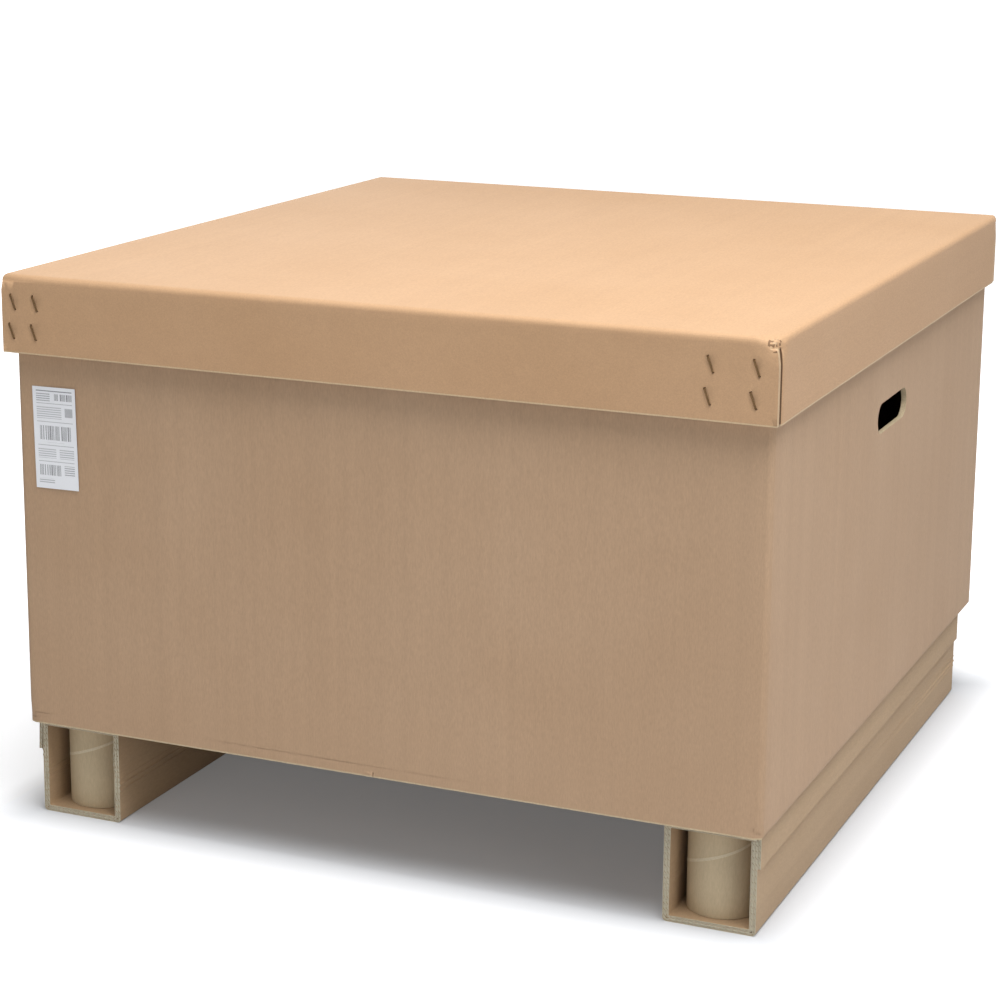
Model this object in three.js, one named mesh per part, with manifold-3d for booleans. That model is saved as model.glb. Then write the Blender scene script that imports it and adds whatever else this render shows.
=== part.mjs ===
import * as THREE from "three";
import { mergeVertices } from "three/addons/utils/BufferGeometryUtils.js";
import Module from "manifold-3d";

const wasm = await Module();
wasm.setup();

// A heavy corrugated pallet box: a folded body with its bottom flaps closed, a stapled lid that
// telescopes over it, and two open runners underneath with paper cores standing in them.
// Millimetres, +Z up, the front faces -Y. The origin lies on the floor, under the middle of the footprint.

// Body box, a folded and glued sheet of double-wall board
const bodyWidth = 1000; // outside, left to right
const bodyDepth = 1050; // outside, front to back
const bodyHeight = 587; // from the underside of the bottom flaps to the rim
const bodyBoard = 7;
const bodyCornerRadius = 10; // outside of the upright creases
const bottomCreaseRadius = 9; // outside of the creases that turn the walls into the flaps
const outerFlapSetback = 0.5; // the raw ends of the outer flaps lie this far behind the front face
const flapSeam = 1; // between the two outer flaps, where they meet
const innerFlapSideGap = 4; // between an inner flap and each side wall
const glueTabWidth = 45; // laps inside the back wall
const glueTabTrim = 6; // the tab stops this far below the rim
const jointSlit = 0.8; // between the back wall's raw edge and the folded left wall
const jointEdgeSetback = 1.5; // the back wall's raw edge stops short of the left wall's face
const handHoleLength = 146;
const handHoleHeight = 40;
const handHoleAboveBottom = 405; // middle of the hole above the underside of the flaps

// Lid, a folded tray of the same board
const lidBoard = 7;
const lidPlay = 2; // between the body wall and the lid, on each side
const skirtDepth = 100; // outside, from the top face to the raw edge
const lidCreaseRadius = 9; // outside of the creases round the top
const lidCornerRadius = 9; // outside of the bend from side skirt to tab
const tabWidth = 108; // from the side face to the free end of the tab
const tabGap = 0.3; // between a tab and the skirt that covers it
const skirtSetback = 5; // the front and back skirts end this far inside the side faces

// Wire staples that hold each tab to the skirt
const stapleCrown = 21;
const wireThickness = 0.9;
const wireWidth = 2.4;
const clinchLength = 8; // of each leg where it is bent flat behind the tab
const stapleLean = THREE.MathUtils.degToRad(20);
const stapleUpperRow = 65; // above the raw edge of the lid
const stapleLowerRow = 28;
const lowerRowShift = -3; // the lower staples sit a little to the left of the upper ones
const leftColumns = [18, 50]; // from the left end of the lid
const rightColumns = [27, 81]; // from the right end of the lid
const wireClearance = 0.3; // round each leg in its hole

// Runners, sleeves wound from two turns of single-wall board
const runnerLength = 976;
const runnerWidth = 116;
const runnerHeight = 127;
const runnerWall = 8;
const runnerPly = 4; // one turn of the board
const runnerLap = 42; // how far the outer end laps down the outer side
const runnerCornerRadius = 5;
const runnerInset = 9; // outer side of the sleeve inside the body's side wall
const runnerFrontInset = 16; // front end of the runner behind the body's front wall

// Paper cores in the runners
const coreDiameter = 90;
const coreBore = 76;
const coreSetback = 12; // the end cores stand this far inside the runner's ends
const coresPerRunner = 4;

// Shipping label on the front wall
const labelWidth = 63;
const labelHeight = 132;
const labelThickness = 0.3;
const labelFromLeft = 55.5; // middle of the label from the left face of the body
const labelBelowRim = 202; // middle of the label below the rim
const labelTurn = THREE.MathUtils.degToRad(2.6);

const restGap = 0.3; // where one piece rests on another
const cutMargin = 1; // how far a cutter runs past what it cuts
const bendSegments = 5;
const roundSegments = 14;
const coreSegments = 48;

// Places that follow from the sizes
const bodyBottom = runnerHeight + restGap;
const rim = bodyBottom + bodyHeight;
const halfWidth = bodyWidth / 2;
const halfDepth = bodyDepth / 2;
const stapledStack = lidBoard + tabGap + lidBoard;
const lidWidth = bodyWidth + 2 * (lidPlay + lidBoard);
const lidDepth = bodyDepth + 2 * (lidPlay + stapledStack);
const lidTop = rim + restGap + lidBoard;
const lidEdge = lidTop - skirtDepth;

const bodyMaterial = new THREE.MeshStandardMaterial({ color: 0xa5886b, roughness: 0.9, metalness: 0 });
const lidMaterial = new THREE.MeshStandardMaterial({ color: 0xbc986f, roughness: 0.9, metalness: 0 });
const runnerMaterial = new THREE.MeshStandardMaterial({ color: 0xbfa37c, roughness: 0.9, metalness: 0 });
const coreMaterial = new THREE.MeshStandardMaterial({ color: 0x99896b, roughness: 0.85, metalness: 0 });
const stapleMaterial = new THREE.MeshStandardMaterial({ color: 0x6b5335, roughness: 0.4, metalness: 1 });
const labelMaterial = new THREE.MeshStandardMaterial({ color: 0xdcdfe4, roughness: 0.55, metalness: 0 });

const xAxis = new THREE.Vector3(1, 0, 0);
const yAxis = new THREE.Vector3(0, 1, 0);
const zAxis = new THREE.Vector3(0, 0, 1);

// A closed outline whose corners, each an x, a y and a radius, are rounded like a crease in board.
function creasedShape(corners) {
  const shape = new THREE.Shape();
  corners.forEach(([x, y, radius], index) => {
    const here = new THREE.Vector2(x, y);
    const [beforeX, beforeY] = corners.at(index - 1);
    const [afterX, afterY] = corners[(index + 1) % corners.length];
    const enter = new THREE.Vector2(beforeX, beforeY).sub(here).setLength(radius).add(here);
    const leave = new THREE.Vector2(afterX, afterY).sub(here).setLength(radius).add(here);
    if (index === 0) {
      shape.moveTo(enter.x, enter.y);
    } else {
      shape.lineTo(enter.x, enter.y);
    }
    if (radius > 0) {
      shape.quadraticCurveTo(x, y, leave.x, leave.y);
    }
  });
  shape.closePath();
  return shape;
}

// A rectangle between two corners, with one radius for its lower pair of corners and one for its upper pair.
function rectangle(left, right, bottom, top, lowerRadius, upperRadius) {
  return creasedShape([
    [left, bottom, lowerRadius],
    [right, bottom, lowerRadius],
    [right, top, upperRadius],
    [left, top, upperRadius],
  ]);
}

// A slot with half-round ends.
function slotShape(centreX, centreY, length, height) {
  const radius = height / 2;
  const reach = length / 2 - radius;
  const shape = new THREE.Shape();
  shape.absarc(centreX + reach, centreY, radius, -Math.PI / 2, Math.PI / 2);
  shape.absarc(centreX - reach, centreY, radius, Math.PI / 2, Math.PI * 1.5);
  shape.closePath();
  return shape;
}

function extruded(shape, length, curveSegments) {
  return new THREE.ExtrudeGeometry(shape, { depth: length, bevelEnabled: false, curveSegments });
}

// An outline drawn in Y and Z, extruded along X.
function alongX(shape, from, to, curveSegments = bendSegments) {
  const turn = new THREE.Matrix4().makeBasis(yAxis, zAxis, xAxis);
  return extruded(shape, to - from, curveSegments).applyMatrix4(turn).translate(from, 0, 0);
}

// An outline drawn in X and Z, extruded along Y.
function alongY(shape, from, to, curveSegments = bendSegments) {
  const turn = new THREE.Matrix4().makeBasis(xAxis, zAxis, yAxis.clone().negate());
  return extruded(shape, to - from, curveSegments).applyMatrix4(turn).translate(0, to, 0);
}

// An outline drawn in X and Y, extruded along Z.
function alongZ(shape, from, to, curveSegments = bendSegments) {
  return extruded(shape, to - from, curveSegments).translate(0, 0, from);
}

function block(left, right, front, back, bottom, top) {
  const box = new THREE.BoxGeometry(right - left, back - front, top - bottom);
  return box.translate((left + right) / 2, (front + back) / 2, (bottom + top) / 2);
}

function solidFrom(geometry) {
  const bare = geometry.clone();
  bare.deleteAttribute("normal");
  bare.deleteAttribute("uv");
  const welded = mergeVertices(bare, 1e-4);
  return new wasm.Manifold(
    new wasm.Mesh({
      numProp: 3,
      vertProperties: new Float32Array(welded.attributes.position.array),
      triVerts: new Uint32Array(welded.index.array),
    }),
  );
}

function geometryFrom(solid) {
  const { vertProperties, triVerts } = solid.getMesh();
  const geometry = new THREE.BufferGeometry();
  geometry.setAttribute("position", new THREE.BufferAttribute(new Float32Array(vertProperties), 3));
  geometry.setIndex(new THREE.BufferAttribute(new Uint32Array(triVerts), 1));
  geometry.computeVertexNormals();
  return geometry;
}

function cutEach(solid, cutters) {
  return cutters.reduce((rest, cutter) => rest.subtract(solidFrom(cutter)), solid);
}

function named(name, geometry, material) {
  const mesh = new THREE.Mesh(geometry, material);
  mesh.name = name;
  return mesh;
}

// The body is one sheet. The side walls turn under into the outer flaps, which meet along the middle, and
// the front and back walls turn under into the inner flaps, which are glued on top of the outer ones.
function bodyGeometry() {
  const innerFlapFloor = bodyBottom + bodyBoard;
  const cavityFloor = innerFlapFloor + bodyBoard;
  const innerCornerRadius = bodyCornerRadius - bodyBoard;
  const innerFlapLength = Math.min(bodyWidth, bodyDepth) / 2 - flapSeam / 2;
  const uncovered = halfDepth - innerFlapLength;
  const insideWidth = halfWidth - bodyBoard;
  const insideDepth = halfDepth - bodyBoard;
  const above = rim + cutMargin;

  const plan = rectangle(-halfWidth, halfWidth, -halfDepth, halfDepth, bodyCornerRadius, bodyCornerRadius);
  const sideFold = rectangle(-halfWidth, halfWidth, bodyBottom, above, bottomCreaseRadius, 0);
  const frontFold = rectangle(-halfDepth, halfDepth, innerFlapFloor, above, bottomCreaseRadius, 0);
  const foldedSides = solidFrom(alongY(sideFold, -halfDepth - cutMargin, halfDepth + cutMargin));
  const foldedEnds = solidFrom(alongX(frontFold, -halfWidth - cutMargin, halfWidth + cutMargin));
  const outerFlapReach = halfDepth - outerFlapSetback;
  const outerFlaps = solidFrom(
    block(-halfWidth, halfWidth, -outerFlapReach, outerFlapReach, bodyBottom, innerFlapFloor),
  ).intersect(foldedSides);
  const upright = solidFrom(alongZ(plan, bodyBottom, rim)).intersect(foldedSides).intersect(foldedEnds);

  // The glued joint at the back left corner: a tab folded from the left wall, inside the back wall.
  const cavity = alongZ(
    rectangle(-insideWidth, insideWidth, -insideDepth, insideDepth, innerCornerRadius, innerCornerRadius),
    cavityFloor,
    above,
  );
  const glueTab = block(
    -insideWidth,
    -insideWidth + glueTabWidth,
    insideDepth - bodyBoard,
    insideDepth,
    cavityFloor,
    rim - glueTabTrim,
  );
  const rawEdge = block(
    -halfWidth + jointEdgeSetback,
    -halfWidth + bodyCornerRadius,
    insideDepth,
    halfDepth,
    innerFlapFloor + bottomCreaseRadius,
    rim,
  );
  const cutters = [
    block(-insideWidth, insideWidth, -uncovered, uncovered, innerFlapFloor, cavityFloor + cutMargin),
    block(-flapSeam / 2, flapSeam / 2, -halfDepth, halfDepth, bodyBottom - cutMargin, innerFlapFloor),
    block(-halfWidth - cutMargin, -insideWidth, insideDepth - jointSlit, insideDepth, cavityFloor, above),
  ];
  for (const side of [-1, 1]) {
    const wallFace = side * insideWidth;
    const flapEdge = side * (insideWidth - innerFlapSideGap);
    const left = Math.min(wallFace, flapEdge);
    const right = Math.max(wallFace, flapEdge);
    cutters.push(block(left, right, -insideDepth, insideDepth, innerFlapFloor, cavityFloor + cutMargin));
  }
  const handHole = slotShape(0, bodyBottom + handHoleAboveBottom, handHoleLength, handHoleHeight);
  cutters.push(alongX(handHole, -halfWidth - cutMargin, halfWidth + cutMargin, roundSegments));

  const shell = upright.add(outerFlaps).add(solidFrom(rawEdge)).subtract(solidFrom(cavity));
  return geometryFrom(cutEach(shell.add(solidFrom(glueTab)), cutters));
}

// Where each staple sits: the middle of its crown on the outer face of the front or back skirt.
function staplePlaces() {
  const places = [];
  for (const [face, turn] of [["front", 0], ["back", Math.PI]]) {
    const columns = [
      ["left", leftColumns.map((fromEnd) => -lidWidth / 2 + fromEnd)],
      ["right", rightColumns.map((fromEnd) => lidWidth / 2 - fromEnd)],
    ];
    for (const [end, positions] of columns) {
      positions.forEach((x, column) => {
        const rows = [
          ["upper", x, stapleUpperRow],
          ["lower", x + lowerRowShift, stapleLowerRow],
        ];
        for (const [row, across, height] of rows) {
          const place = new THREE.Matrix4()
            .makeRotationZ(turn)
            .multiply(new THREE.Matrix4().makeTranslation(across, -lidDepth / 2, lidEdge + height))
            .multiply(new THREE.Matrix4().makeRotationY(-stapleLean));
          places.push({ name: `staple_${face}_${end}_${row}_${column + 1}`, place });
        }
      });
    }
  }
  return places;
}

// A staple drawn upright with its crown in front: two legs run back through both boards and are bent
// towards each other behind the tab.
function stapleGeometry() {
  const half = stapleCrown / 2;
  const front = restGap + wireThickness;
  const behind = -stapledStack - restGap;
  const outline = [];
  const oneSide = [
    [half, front, wireThickness],
    [half, behind - wireThickness, wireThickness],
    [half - clinchLength, behind - wireThickness, 0],
    [half - clinchLength, behind, 0],
    [half - wireThickness, behind, 0],
    [half - wireThickness, restGap, 0],
  ];
  oneSide.forEach(([along, out, radius]) => outline.push([along, out, radius]));
  oneSide.toReversed().forEach(([along, out, radius]) => outline.push([-along, out, radius]));
  const turn = new THREE.Matrix4().makeBasis(zAxis, yAxis.clone().negate(), xAxis);
  return extruded(creasedShape(outline), wireWidth, 2).translate(0, 0, -wireWidth / 2).applyMatrix4(turn);
}

// The two holes that the legs of one staple go through.
function legHoles() {
  const outer = stapleCrown / 2 + wireClearance;
  const inner = stapleCrown / 2 - wireThickness - wireClearance;
  const reach = wireWidth / 2 + wireClearance;
  return [
    block(-reach, reach, -cutMargin, stapledStack + cutMargin, inner, outer),
    block(-reach, reach, -cutMargin, stapledStack + cutMargin, -outer, -inner),
  ];
}

// The lid is one sheet. Its side skirts go on round the corners as tabs, and the front and back skirts
// fold down over those tabs.
function lidGeometry() {
  const creaseStart = lidTop - lidCreaseRadius;
  const insideCrease = lidCreaseRadius - lidBoard;
  const insideCorner = lidCornerRadius - lidBoard;
  const insideWidth = lidWidth / 2 - lidBoard;
  const insideDepth = lidDepth / 2 - lidBoard;
  const tabFace = insideDepth - tabGap;
  const low = creaseStart - cutMargin;
  const ceiling = lidTop - lidBoard;

  // The top panel with the rounded creases round it
  const acrossOuter = rectangle(-lidDepth / 2, lidDepth / 2, creaseStart, lidTop, 0, lidCreaseRadius);
  const alongOuter = rectangle(-lidWidth / 2, lidWidth / 2, creaseStart, lidTop, 0, lidCreaseRadius);
  const acrossInner = rectangle(-insideDepth, insideDepth, low, ceiling, 0, insideCrease);
  const alongInner = rectangle(-insideWidth, insideWidth, low, ceiling, 0, insideCrease);
  const outside = solidFrom(alongX(acrossOuter, -lidWidth / 2, lidWidth / 2)).intersect(
    solidFrom(alongY(alongOuter, -lidDepth / 2, lidDepth / 2)),
  );
  const inside = solidFrom(alongX(acrossInner, -lidWidth / 2, lidWidth / 2)).intersect(
    solidFrom(alongY(alongInner, -lidDepth / 2, lidDepth / 2)),
  );
  let lid = outside.subtract(inside);

  // The front and back skirts
  const skirtEnd = lidWidth / 2 - skirtSetback;
  lid = lid.add(solidFrom(block(-skirtEnd, skirtEnd, -lidDepth / 2, -insideDepth, lidEdge, creaseStart)));
  lid = lid.add(solidFrom(block(-skirtEnd, skirtEnd, insideDepth, lidDepth / 2, lidEdge, creaseStart)));

  // The side skirts with their tabs, cut from one ring of board
  const ringOutside = rectangle(-lidWidth / 2, lidWidth / 2, -tabFace, tabFace, lidCornerRadius, lidCornerRadius);
  const ringInside = rectangle(
    -insideWidth,
    insideWidth,
    -tabFace + lidBoard,
    tabFace - lidBoard,
    insideCorner,
    insideCorner,
  );
  const tabEnd = lidWidth / 2 - tabWidth;
  const ring = solidFrom(alongZ(ringOutside, lidEdge, creaseStart))
    .subtract(solidFrom(alongZ(ringInside, lidEdge - cutMargin, lidTop)))
    .subtract(solidFrom(block(-tabEnd, tabEnd, -lidDepth, lidDepth, lidEdge - cutMargin, lidTop)));
  lid = lid.add(ring);

  const holes = [];
  for (const { place } of staplePlaces()) {
    legHoles().forEach((hole) => holes.push(hole.applyMatrix4(place)));
  }
  return geometryFrom(cutEach(lid, holes));
}

// A runner's sleeve. The board goes round twice, and its outer end laps down over the outer side.
function runnerGeometry(side) {
  const outer = halfWidth - runnerInset;
  const inner = outer - runnerWidth;
  const innerRadius = runnerCornerRadius - runnerPly;
  const lapEdge = runnerHeight - runnerLap;
  const front = -halfDepth + runnerFrontInset;
  const mirrored = (corners) => {
    const placed = corners.map(([x, z, radius]) => [side * x, z, radius]);
    return side < 0 ? placed.reverse() : placed;
  };
  const shape = creasedShape(
    mirrored([
      [inner, 0, runnerCornerRadius],
      [outer, 0, runnerCornerRadius],
      [outer, lapEdge, 0],
      [outer + runnerPly, lapEdge, 0],
      [outer + runnerPly, runnerHeight, runnerCornerRadius],
      [inner, runnerHeight, runnerCornerRadius],
    ]),
  );
  const opening = creasedShape(
    mirrored([
      [inner + runnerWall, runnerWall, innerRadius],
      [outer - runnerWall, runnerWall, innerRadius],
      [outer - runnerWall, runnerHeight - runnerWall, innerRadius],
      [inner + runnerWall, runnerHeight - runnerWall, innerRadius],
    ]),
  );
  shape.holes.push(opening);
  return alongY(shape, front, front + runnerLength);
}

// A paper core, a plain tube that stands upright.
function coreGeometry() {
  const height = runnerHeight - 2 * (runnerWall + restGap);
  const profile = [
    [coreBore / 2, 0],
    [coreDiameter / 2, 0],
    [coreDiameter / 2, height],
    [coreBore / 2, height],
    [coreBore / 2, 0],
  ];
  const points = profile.map(([radius, level]) => new THREE.Vector2(radius, level));
  return new THREE.LatheGeometry(points, coreSegments).rotateX(Math.PI / 2);
}

const group = new THREE.Group();
group.add(named("body_box", bodyGeometry(), bodyMaterial));

const label = named("label", new THREE.BoxGeometry(labelWidth, labelThickness, labelHeight), labelMaterial);
label.position.set(
  -halfWidth + labelFromLeft,
  -halfDepth - restGap - labelThickness / 2,
  rim - labelBelowRim,
);
label.rotation.y = -labelTurn;
group.add(label);

const lidAssembly = new THREE.Group();
lidAssembly.add(named("lid", lidGeometry(), lidMaterial));
for (const { name, place } of staplePlaces()) {
  const staple = named(name, stapleGeometry(), stapleMaterial);
  staple.applyMatrix4(place);
  lidAssembly.add(staple);
}
group.add(lidAssembly);

const runnerFront = -halfDepth + runnerFrontInset;
const firstCore = runnerFront + coreSetback + coreDiameter / 2;
const lastCore = runnerFront + runnerLength - coreSetback - coreDiameter / 2;
for (const [sideName, side] of [["left", -1], ["right", 1]]) {
  group.add(named(`runner_${sideName}`, runnerGeometry(side), runnerMaterial));
  for (let index = 0; index < coresPerRunner; index += 1) {
    const core = named(`core_${sideName}_${index + 1}`, coreGeometry(), coreMaterial);
    const along = THREE.MathUtils.lerp(firstCore, lastCore, index / (coresPerRunner - 1));
    core.position.set(side * (halfWidth - runnerInset - runnerWidth / 2), along, runnerWall + restGap);
    group.add(core);
  }
}

export default group;
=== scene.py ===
# %% [markdown]
# A corrugated pallet box in Blender.
#
# The box stands on two runners wound from corrugated board, with paper cores inside them. A stapled lid
# slides down over the body. The solid model gives every size and place in metres, and each cell below
# dresses one piece of it: first the stage, then the boards and papers, then the pieces themselves.

# %% Load the solid model
import bpy
import bmesh
import math
from mathutils import Euler, Matrix, Vector, noise


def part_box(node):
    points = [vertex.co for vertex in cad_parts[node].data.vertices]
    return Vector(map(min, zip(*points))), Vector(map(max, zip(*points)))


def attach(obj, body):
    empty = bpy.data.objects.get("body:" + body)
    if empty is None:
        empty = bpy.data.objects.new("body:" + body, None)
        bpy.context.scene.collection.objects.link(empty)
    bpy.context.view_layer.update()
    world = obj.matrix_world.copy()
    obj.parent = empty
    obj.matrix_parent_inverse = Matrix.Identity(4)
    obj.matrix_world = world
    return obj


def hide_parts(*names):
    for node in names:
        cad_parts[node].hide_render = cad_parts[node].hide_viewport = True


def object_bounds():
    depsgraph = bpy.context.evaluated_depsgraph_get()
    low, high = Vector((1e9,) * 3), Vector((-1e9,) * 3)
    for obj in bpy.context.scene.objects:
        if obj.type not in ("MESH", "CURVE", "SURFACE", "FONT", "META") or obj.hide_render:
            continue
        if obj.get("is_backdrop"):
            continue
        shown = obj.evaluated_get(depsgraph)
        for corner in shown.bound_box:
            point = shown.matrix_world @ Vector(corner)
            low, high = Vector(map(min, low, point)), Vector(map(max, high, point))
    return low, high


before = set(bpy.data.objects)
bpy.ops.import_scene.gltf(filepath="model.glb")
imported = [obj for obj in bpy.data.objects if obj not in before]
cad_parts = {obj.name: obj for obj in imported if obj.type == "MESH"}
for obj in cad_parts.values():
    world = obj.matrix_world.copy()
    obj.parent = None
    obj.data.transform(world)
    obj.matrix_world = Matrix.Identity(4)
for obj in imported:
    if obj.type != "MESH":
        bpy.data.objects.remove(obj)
solid_low, solid_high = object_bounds()
print("solid model", [round(v, 4) for v in solid_high - solid_low])

# %% [markdown]
# The camera looks from the right and a little above, through a long lens, as a product shot does. The lens
# is given in millimetres for a 36 mm sensor, and the camera is turned by heading, tilt and a trace of roll.

# %% Camera
LENS_MM = 90.89
SENSOR_MM = 36
CAMERA_PLACE = (1.3000, -3.1617, 1.2412)
HEADING, TILT, ROLL = 23.251, 12.922, 0.410
RISE = -0.07  # lens shift: the lens sits a little below the middle of the sensor
FAR_CLIP = 200

camera_data = bpy.data.cameras.new("camera")
camera_data.lens = LENS_MM
camera_data.sensor_width = SENSOR_MM
camera_data.shift_y = RISE
camera_data.clip_end = FAR_CLIP
camera = bpy.data.objects.new("camera", camera_data)
camera.location = CAMERA_PLACE
turn = (
    Matrix.Rotation(math.radians(HEADING), 4, "Z")
    @ Matrix.Rotation(math.radians(90 - TILT), 4, "X")
    @ Matrix.Rotation(math.radians(ROLL), 4, "Z")
)
camera.rotation_euler = turn.to_euler()
bpy.context.scene.collection.objects.link(camera)
bpy.context.scene.camera = camera
print("camera", LENS_MM, "mm at", CAMERA_PLACE)

# %% [markdown]
# Node trees are written with one helper. It adds a node, sets its options, and fills each input with a value,
# with a link from an output, or with a link from another node's first output. Colours are written as the hex
# values that a picture editor shows, and one function turns them into the linear values of the renderer.

# %% Helpers for nodes and colours


def add_node(tree, kind, options=None, inputs=None):
    """Adds one node with its options, and its inputs as values, links or other nodes."""
    node = tree.nodes.new(kind)
    for option, value in (options or {}).items():
        setattr(node, option, value)
    for key, value in (inputs or {}).items():
        if isinstance(value, bpy.types.Node):
            value = value.outputs[0]
        if isinstance(value, bpy.types.NodeSocket):
            tree.links.new(value, node.inputs[key])
        else:
            node.inputs[key].default_value = value
    return node


def colour(hex_value):
    """Linear RGBA of an sRGB hex colour."""
    channels = [int(hex_value[i:i + 2], 16) / 255 for i in (1, 3, 5)]
    return [c / 12.92 if c <= 0.04045 else ((c + 0.055) / 1.055) ** 2.4 for c in channels] + [1.0]


def new_material(name):
    """An empty node material with its tree, shader and output."""
    material = bpy.data.materials.new(name)
    material.use_nodes = True
    tree = material.node_tree
    tree.nodes.clear()
    shader = add_node(tree, "ShaderNodeBsdfPrincipled")
    add_node(tree, "ShaderNodeOutputMaterial", inputs={"Surface": shader})
    return material, tree, shader


# %% [markdown]
# The stage is a pale floor that runs out of sight and a white world. Near the box the floor is a matt white
# that takes the soft contact shadow. A part of its brightness comes from a glow that only the camera, and
# what the camera sees by reflection, can see, so the paper-white ground doesn't need stronger lamps. The
# glow is weak under the box and grows with the distance from it, so it also paints a darker shadow round
# the foot of the box, on top of the shadow that the lamps cast.

# %% Floor and world
FLOOR_REACH = 30.0
FLOOR_WHITE = (0.55, 0.565, 0.59, 1.0)  # a trace of blue, against the brown light from the board
SHADE_INSET = (0.014, 0.034)  # the runners stand this far inside the lid's outline
# The glow's strength by distance: weak close to the runners, which paints the contact shadow darker.
PAINTED_SHADOW_GLOW_STEPS = ((0.0, 0.10), (0.030, 0.28), (0.085, 0.62), (0.85, 1.0))  # metres outside the runners, strength
WORLD_LIGHT = 0.20  # the world's strength as a lamp, while the camera sees it at 1


def seen_as_background(tree):
    """1 for the rays that see the background: straight from the camera, reflected or through glass."""
    rays = add_node(tree, "ShaderNodeLightPath").outputs
    seen = rays["Is Camera Ray"]
    for ray in ("Is Glossy Ray", "Is Transmission Ray"):
        seen = add_node(tree, "ShaderNodeMath", {"operation": "MAXIMUM"}, {0: seen, 1: rays[ray]})
    return seen


floor_mesh = bpy.data.meshes.new("floor")
floor_mesh.from_pydata(
    [(x * FLOOR_REACH, y * FLOOR_REACH, 0) for x, y in ((-1, -1), (1, -1), (1, 1), (-1, 1))], [], [(0, 1, 2, 3)]
)
floor = bpy.data.objects.new("floor", floor_mesh)
bpy.context.scene.collection.objects.link(floor)

floor_material = bpy.data.materials.new("matt_white_paper_sweep")
floor_material.use_nodes = True
tree = floor_material.node_tree
tree.nodes.clear()
matt = add_node(tree, "ShaderNodeBsdfDiffuse", inputs={"Color": FLOOR_WHITE})
place = add_node(tree, "ShaderNodeTexCoord").outputs["Object"]
corner = (solid_high.x - SHADE_INSET[0], solid_high.y - SHADE_INSET[1], 0)
beyond = add_node(tree, "ShaderNodeVectorMath", {"operation": "ABSOLUTE"}, {0: place})
beyond = add_node(tree, "ShaderNodeVectorMath", {"operation": "SUBTRACT"}, {0: beyond, 1: corner})
beyond = add_node(tree, "ShaderNodeVectorMath", {"operation": "MAXIMUM"}, {0: beyond, 1: (0, 0, 0)})
distance = add_node(tree, "ShaderNodeVectorMath", {"operation": "LENGTH"}, {0: beyond}).outputs["Value"]
# A ramp by the distance beyond the runners sets the glow, so the floor near the box gets a painted shadow.
glow_reach = PAINTED_SHADOW_GLOW_STEPS[-1][0]
share = add_node(tree, "ShaderNodeMath", {"operation": "DIVIDE"}, {0: distance, 1: glow_reach})
steps = add_node(tree, "ShaderNodeValToRGB", inputs={"Fac": share})
while len(steps.color_ramp.elements) < len(PAINTED_SHADOW_GLOW_STEPS):
    steps.color_ramp.elements.new(0.5)
for element, (reach, strength) in zip(steps.color_ramp.elements, PAINTED_SHADOW_GLOW_STEPS):
    element.position = reach / glow_reach
    element.color = (strength, strength, strength, 1)
level = add_node(tree, "ShaderNodeMath", {"operation": "MULTIPLY"}, {0: steps, 1: seen_as_background(tree)})
glow = add_node(tree, "ShaderNodeEmission", inputs={"Color": (1, 1, 1, 1), "Strength": level})
both = add_node(tree, "ShaderNodeAddShader", inputs={0: matt, 1: glow})
add_node(tree, "ShaderNodeOutputMaterial", inputs={"Surface": both})
floor_mesh.materials.append(floor_material)
floor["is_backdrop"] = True

world = bpy.data.worlds.new("studio")
bpy.context.scene.world = world
world.use_nodes = True
tree = world.node_tree
tree.nodes.clear()
level = add_node(
    tree, "ShaderNodeMapRange", inputs={"Value": seen_as_background(tree), "To Min": WORLD_LIGHT, "To Max": 1.0}
)
sky = add_node(tree, "ShaderNodeBackground", inputs={"Color": (1, 1, 1, 1), "Strength": level})
add_node(tree, "ShaderNodeOutputWorld", inputs={"Surface": sky})
print("floor and world made, world light", WORLD_LIGHT)

# %% [markdown]
# Four large area lamps light the box as soft boxes do: one overhead and towards the right, which makes the
# top the brightest face, one at the right that lifts the side wall above the front wall, a weak one in
# front, and one behind at the left, so that the far walls don't go black when the box is seen from there.
# Large lamps close to the object give the soft edge of the contact shadow.

# %% Lamps
LAMPS = {
    "overhead": {"place": (0.9, -0.9, 3.4), "aim": (0.1, -0.1, 0.4), "size": 2.4, "power": 168},
    "right": {"place": (3.5, -1.5, 0.5), "aim": (0.4, 0.0, 0.3), "size": 2.0, "power": 34},
    "front": {"place": (-0.6, -4.2, 0.5), "aim": (0.0, 0.0, 0.3), "size": 1.7, "power": 29},
    "back": {"place": (-2.9, 3.3, 1.5), "aim": (0.0, 0.0, 0.3), "size": 2.4, "power": 46},
}
for name, lamp in LAMPS.items():
    data = bpy.data.lights.new(name, "AREA")
    data.shape = "SQUARE"
    data.size = lamp["size"]
    data.energy = lamp["power"]
    light = bpy.data.objects.new(name, data)
    light.location = lamp["place"]
    direction = Vector(lamp["aim"]) - Vector(lamp["place"])
    light.rotation_euler = direction.to_track_quat("-Z", "Y").to_euler()
    bpy.context.scene.collection.objects.link(light)
print(len(LAMPS), "lamps")

bpy.context.scene.view_settings.view_transform = "Standard"

# %% [markdown]
# Kraft linerboard is the brown paper on both faces of corrugated board. It is rough and matt, its tone drifts
# in soft clouds, dark and pale wood fibres show in it, and the flutes underneath read through as faint
# parallel streaks. The streaks run with the flutes, so the pattern is stretched along them. Where the board
# is cut, an attribute of the piece brings in the paler, broken paper of its middle; the same attribute also
# paints highlights, on the seam ridge of the cores and along the lid's lower edge, and a pale line along the
# body's bottom. Another attribute darkens the places that are rubbed or torn, and paints shade into the slit
# at the lid's corners.

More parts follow.
